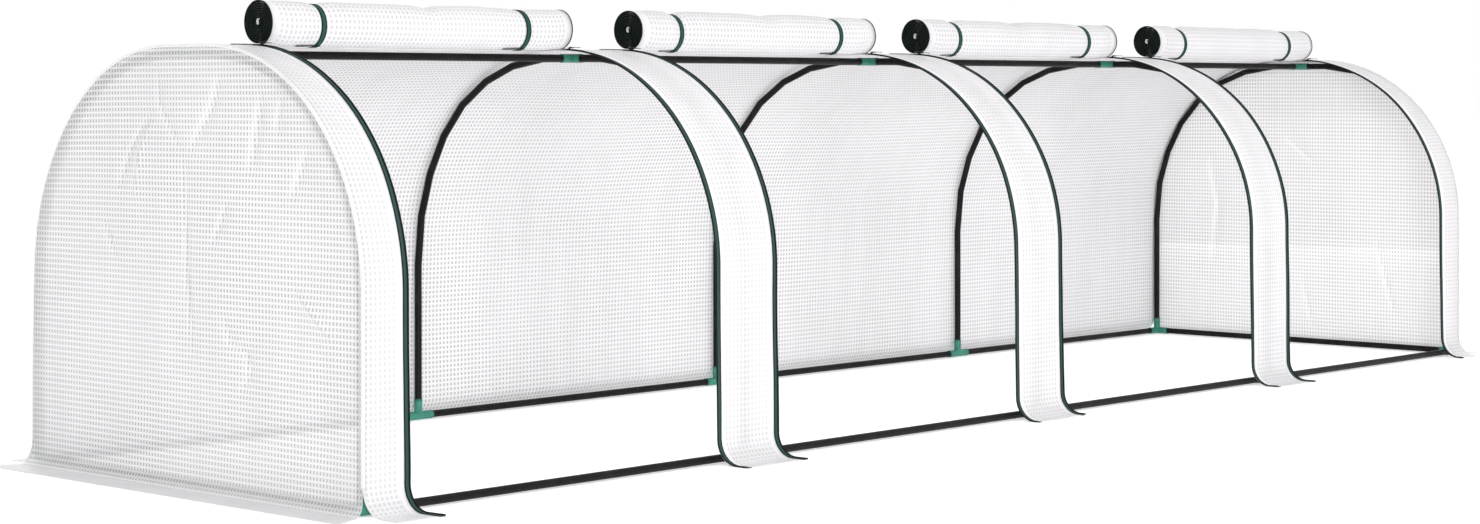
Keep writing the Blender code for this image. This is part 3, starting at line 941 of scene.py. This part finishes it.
roll = {"coreRadius": 0.0016, "pitch": 0.00436, "steps": 40, "across": 0.010, "zipFrom": 0.0066,
        "inset": 0.008, "lastInset": 0.0022, "hem": 0.022, "back": math.radians(1.6), "proud": 0.0008,
        "reach": (0.0045, -0.0010, 0.0045, 0.0045), "swell": (0.0034, 0.0058, 0.0048, 0.0058),
        "sink": 0.0035, "taper": 0.0026, "pinch": 0.0020, "pinchReach": 0.020,
        "creases": (0.0164, 0.028, -0.02, 0.05), "creaseDeep": (0.0067, 0.0072, 0.0062, 0.0035),
        "creaseReach": (0.030, 0.022), "squeeze": (0.34, 0.16), "squeezed": (0.005, 0.018),
        "ends": (0.05, 0.07), "taperFrom": (0.25, 0.13), "uneven": (0.0007, 0.0005), "flatBelow": 0.85,
        "lastTurn": (1.15, 1.02), "aboveRoof": 0.0006}

rolledZip = {"coil": 0.0015, "coilIn": 0.001, "edge": 0.0005, "extra": 0.001, "faces": (-0.0011, -0.0004)}

strap = {"in": 0.126, "width": 0.0128, "thick": 0.0011, "lift": 0.0005, "steps": 64, "tail": 0.050,
         "tailStart": -0.006, "tailBack": 0.016, "tailTurn": 0.06, "tilt": math.radians(3),
         "droop": 0.0008, "droopFrom": 0.01, "step": 0.004}

leader = {"steps": 60, "columns": 24, "inset": 0.0016, "lift": 0.0003, "rise": 0.0012, "narrowFrom": 0.94}


class Roll:  # a door wound up on the roof, with what its pieces share
    def __init__(self, number):
        self.number = number
        self.body = "door_%d" % number
        low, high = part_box("door_roll_%d" % number)
        middle = middleOf("door_roll_%d" % number)
        orbit = math.hypot(middle.y - pivotY, middle.z - pivotZ)
        angle = math.atan2(pivotY - middle.y, middle.z - pivotZ) - roll["back"]
        self.angle = angle
        self.centre = Vector((0, pivotY - orbit * math.sin(angle), pivotZ + orbit * math.cos(angle)))
        self.outer = (high.z - low.z) / 2 + roll["proud"]
        self.low = low.x - roll["reach"][number - 1]
        self.high = high.x
        self.straps = {"Left": self.low + strap["in"], "Right": self.high - strap["in"]}
        self.total = (self.outer - roll["coreRadius"]) / roll["pitch"]
        self.zipTurns = (roll["zipFrom"] - roll["coreRadius"]) / roll["pitch"]
        self.turns = evenly(0.0, self.total, 1 / roll["steps"])
        self.lengths = [0.0]
        for first, second in zip(self.turns, self.turns[1:]):
            mean = roll["coreRadius"] + roll["pitch"] * (first + second) / 2
            self.lengths.append(self.lengths[-1] + math.tau * mean * (second - first))

    def place(self, x, turns):
        # where the cloth is at x, so many turns out from the core
        number, low, high = self.number, self.low, self.high
        radius = roll["coreRadius"] + roll["pitch"] * turns
        angle = -math.pi / 2 + math.tau * (turns - self.total)
        share = radius / self.outer
        leftEnd, rightEnd = roll["ends"]
        body = smoothly(x, low, low + leftEnd) * smoothly(high - x, 0.0, rightEnd)
        far, near = roll["taperFrom"]
        swell = roll["swell"][number - 1] * body - roll["taper"] * smoothly(x, high - far, high - near)
        long, short = roll["uneven"]
        swell += long * waver(x * 7.0, number * 4.0, math.sin(angle) * 1.2)
        swell += short * waver(x * 26.0, number * 4.0, angle * 2.0)
        for strapX in self.straps.values():
            tight = math.exp(-((x - strapX) / roll["pinchReach"]) ** 2)
            swell -= (roll["pinch"] + max(0.0, swell)) * tight
        if math.sin(angle) < 0:
            swell *= 1 + roll["flatBelow"] * math.sin(angle)
        radius += swell * share
        tall = 1.0 - smoothly(radius, *roll["squeezed"])  # the core is squeezed upright
        y = radius * math.cos(angle) * (1 - roll["squeeze"][0] * tall)
        z = radius * math.sin(angle) * (1 + roll["squeeze"][1] * tall)
        away = x - (low + high) / 2 - roll["creases"][number - 1]
        reach = roll["creaseReach"][0 if away < 0 else 1]
        dip = roll["creaseDeep"][number - 1] * math.exp(-abs(away) / reach) * share
        if z > 0:
            z -= dip * (z / self.outer)
        rest = coverTop - underRoll(x) + roll["aboveRoof"]  # pressed flat where it lies on the roof
        return Vector((x, self.centre.y + y, max(rest, self.centre.z + z - roll["sink"] * body)))

    def makeCloth(self):
        rows = []
        early, done = [self.total - turns for turns in roll["lastTurn"]]
        for turns, length in zip(self.turns, self.lengths):
            inset = 0.0
            if turns > self.zipTurns:
                late = smoothly(turns, early, done)
                inset = roll["inset"] + (roll["lastInset"] - roll["inset"]) * late
            xs = hemmed(self.low + inset, self.high - inset, roll["across"], roll["hem"] - inset)
            rows.append([(self.place(x, turns), (x, length)) for x in xs])
        edge = len(rows[0]) - 2
        sheet = skin("doorRoll%d" % self.number, rows, [doorFilm, hemCloth],
                     plain=lambda i, j: i in (0, edge))
        thicken(sheet)
        return settle(sheet, "door_roll_%d" % self.number, self.body)

    def makeZip(self, word, side, edge):
        across = Vector((-side, 0, 0))
        stations = []
        for turns, length in zip(self.turns, self.lengths):
            if turns > self.zipTurns:
                place = self.place(edge, turns)
                out = Vector((0, place.y - self.centre.y, place.z - self.centre.z)).normalized()
                stations.append((place, across, out, length))
        inner = [(place + across * rolledZip["coilIn"], *others) for place, *others in stations]
        tapeBox = boxOf(rolledZip["edge"], zipper["tape"] + rolledZip["extra"], *rolledZip["faces"])
        title = "%d%s" % (self.number, word)
        tape = bandAlong("rolledZipTape" + title, stations, tapeBox, rolledTape)
        coil = bandAlong("rolledZipCoil" + title, inner, ringOf(rolledZip["coil"], 6), zipCoil)
        return [settle(extra, body=self.body) for extra in (tape, coil)]

    def makeStrap(self, word, x):
        middle = Vector((x, self.centre.y, self.centre.z))
        stations = []
        length = 0.0
        for i in range(strap["steps"] + 1):
            turned = i / strap["steps"]
            angle = -math.pi / 2 - math.tau * turned
            radius = (self.place(x, self.total - turned) - middle).length
            out = Vector((0, math.cos(angle), math.sin(angle)))
            stations.append((middle + out * (radius + strap["lift"]), Vector((1, 0, 0)), out, length))
            length += math.tau * radius / strap["steps"]
        half = strap["width"] / 2
        loop = bandAlong("tieStrap%d%s" % (self.number, word), stations,
                         boxOf(-half, half, 0.0, strap["thick"]), webbing)
        settle(loop, body=self.body)
        # the tail is folded over at the bottom of the roll and points along it
        y = self.centre.y - strap["tailBack"]
        z = self.place(x, self.total - strap["tailTurn"]).z
        across = Vector((0, -math.cos(strap["tilt"]), -math.sin(strap["tilt"])))
        up = Vector((0, -math.sin(strap["tilt"]), math.cos(strap["tilt"])))
        path = []
        for t in evenly(strap["tailStart"], strap["tail"], strap["step"]):
            droop = strap["droop"] * smoothly(t, strap["droopFrom"], strap["tail"])
            path.append((Vector((x - t, y, z - droop)), across, up, t))
        tail = bandAlong("strapTail%d%s" % (self.number, word), path,
                         boxOf(-half, half, -strap["thick"], 0.0), webbing)
        settle(tail, body=self.body)

    def makeLeader(self):
        # the door's cloth that the roll pays out, gathered to a sliver while the door is up
        left = stripSpans[self.number - 1][1] + leader["inset"]
        right = stripSpans[self.number][0] - leader["inset"]
        rows = []
        for i in range(leader["steps"] + 1):
            share = i / leader["steps"]
            t = 0.5 - math.sin(math.asin(1 - 2 * share) / 3)
            angle = seamAngle + (self.angle - seamAngle) * t
            radius = coverRadius + leader["lift"] + leader["rise"] * share
            y, z = pivotY - radius * math.sin(angle), pivotZ + radius * math.cos(angle)
            narrow = smoothly(share, leader["narrowFrom"], 1.0)
            a = left + (self.low - left) * narrow
            b = right + (self.high - right) * narrow
            xs = hemmed(a, b, (b - a) / leader["columns"], zipper["tape"])
            rows.append([(Vector((x, y, z - underRoll(x))), (x, -share * doorSwing * radius)) for x in xs])
        rows.reverse()
        edge = len(rows[0]) - 2
        sheet = skin("doorLeader%d" % self.number, rows, [doorFilm, rolledTape],
                     plain=lambda i, j: i in (0, edge))
        start, end = [(0, pivotY - coverRadius * math.sin(angle), pivotZ + coverRadius * math.cos(angle))
                      for angle in (seamAngle, self.angle)]
        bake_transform(sheet)
        return sheet


def makeRolls():
    for number in range(1, 5):
        door = Roll(number)
        sheet = door.makeCloth()
        extras = door.makeZip("Left", -1, door.low) + door.makeZip("Right", 1, door.high)
        for word, x in door.straps.items():
            door.makeStrap(word, x)
        [door.makeLeader()] + extras
    print("doors made")


# Zip sliders

slider = {"length": 0.012, "width": 0.009, "plate": 0.0011, "gap": 0.0034, "seat": math.radians(1.5),
          "lift": 0.0011, "post": 0.0012, "lug": 0.0015, "lugHeight": 0.0019, "pullLength": 0.024,
          "pullWidth": 0.006, "pullThick": 0.0012, "pullLift": 0.0006, "edge": 0.0005,
          "postEdge": 0.0003, "postSink": 0.0002, "lugEdge": 0.0007, "lugSink": 0.0003}


def roundedBox(bm, low, high, width):
    low, high = Vector(low), Vector(high)
    made = bmesh.ops.create_cube(bm, size=1.0)["verts"]
    bmesh.ops.scale(bm, verts=made, vec=high - low)
    bmesh.ops.translate(bm, verts=made, vec=(low + high) / 2)
    edges = [edge for edge in bm.edges if edge.verts[0] in made]
    bmesh.ops.bevel(bm, geom=made + edges, offset=width, offset_type='OFFSET', segments=3, profile=0.5,
                    affect='EDGES', material=-1)


def makeSliders():
    half, reach, wide = slider["width"] / 2, slider["length"] / 2, slider["pullWidth"] / 2
    post, lug, edge = slider["post"], slider["lug"], slider["edge"]
    postSink, lugSink = slider["postSink"], slider["lugSink"]
    under = coverRadius + slider["lift"] - slider["gap"] / 2
    over = under + slider["gap"]
    top = over + slider["plate"]
    pull = top + slider["pullLift"]
    boxes = [((-half, -reach, under - slider["plate"]), (half, reach, under), edge),
             ((-half, -reach, over), (half, reach, top), edge),
             ((-post, reach * 0.2, under - postSink), (post, reach * 0.9, over + postSink),
              slider["postEdge"]),
             ((-lug, -reach * 0.5, top - lugSink), (lug, reach * 0.6, top + slider["lugHeight"]),
              slider["lugEdge"]),
             ((-wide, -slider["pullLength"] - reach * 0.5, pull),
              (wide, -reach * 0.2, pull + slider["pullThick"]), edge)]
    for bay in range(1, 5):
        for word, x in (("left", stripSpans[bay - 1][1]), ("right", stripSpans[bay][0])):
            bm = bmesh.new()
            for low, high, width in boxes:
                roundedBox(bm, low, high, width)
            bmesh.ops.transform(bm, verts=bm.verts, matrix=Matrix.Translation((x, pivotY, pivotZ))
                                @ Matrix.Rotation(seamAngle + slider["seat"], 4, 'X'))
            node = "zip_slider_%d_%s" % (bay, word)
            settle(meshObject(titleOf(node), bm, [zipMetal]), node, node[4:])
    print("sliders made")


makeTubes()
makeFittings()
makeRoof()
makeStrips()
makePanels()
makeStripZips()
makeRolls()
makeSliders()


# Studio

studio = {"place": (-5.081, -4.143, 0.7405), "turn": -47.13, "lens": 66.87, "shift": (0.0331, -0.1173),
          "sky": 1.0, "floorGlow": 0.35, "floorHalf": 60.0, "floorDrop": 0.0008,
          "aim": Vector((0.4, 0, 0.3)),
          "lamps": {"keyLight": (206.0, 3.0, (-4.0, -7.0, 1.6)),
                    "endLight": (46.0, 3.0, (6.5, 2.0, 0.3)),
                    "backLight": (105.0, 6.0, (1.6, 5.5, 0.2))}}


def makeStudio():
    floorMesh = bmesh.new()
    bmesh.ops.create_grid(floorMesh, x_segments=1, y_segments=1, size=studio["floorHalf"])
    bmesh.ops.translate(floorMesh, verts=floorMesh.verts, vec=(0, 0, -studio["floorDrop"]))
    look = Look("paleFloor")
    cloudy = look.noise(look.place(), 0.6)
    pale = look.finish(look.between(cloudy, (0.95, 0.95, 0.95), (0.965, 0.965, 0.965)), 0.9,
                       look.bump(cloudy, 0.0001), specular=0.1)
    shader = pale.node_tree.nodes["Principled BSDF"]
    shader.inputs["Emission Color"].default_value = (1, 1, 1, 1)
    shader.inputs["Emission Strength"].default_value = studio["floorGlow"]
    floor = meshObject("paleFloor", floorMesh, [pale], smooth=0)
    world = bpy.data.worlds.new("softSky")
    world.use_nodes = True
    sky = world.node_tree.nodes["Background"].inputs
    sky["Color"].default_value = (1, 1, 1, 1)
    sky["Strength"].default_value = studio["sky"]
    bpy.context.scene.world = world
    for name, (strength, size, place) in studio["lamps"].items():
        light = bpy.data.lights.new(name, 'AREA')
        light.energy = strength
        light.size = size
        lamp = placed(name, light)
        lamp.location = place
        lamp.rotation_euler = (studio["aim"] - lamp.location).to_track_quat('-Z', 'Y').to_euler()
    camera = placed("camera", bpy.data.cameras.new("camera"))
    camera.location = studio["place"]
    camera.rotation_euler = (math.radians(90), 0, math.radians(studio["turn"]))
    camera.data.lens = studio["lens"]
    camera.data.sensor_width = 36.0
    camera.data.shift_x, camera.data.shift_y = studio["shift"]
    bpy.context.scene.camera = camera
    bpy.context.scene.view_settings.view_transform = 'Standard'
    print("studio made")


makeStudio()
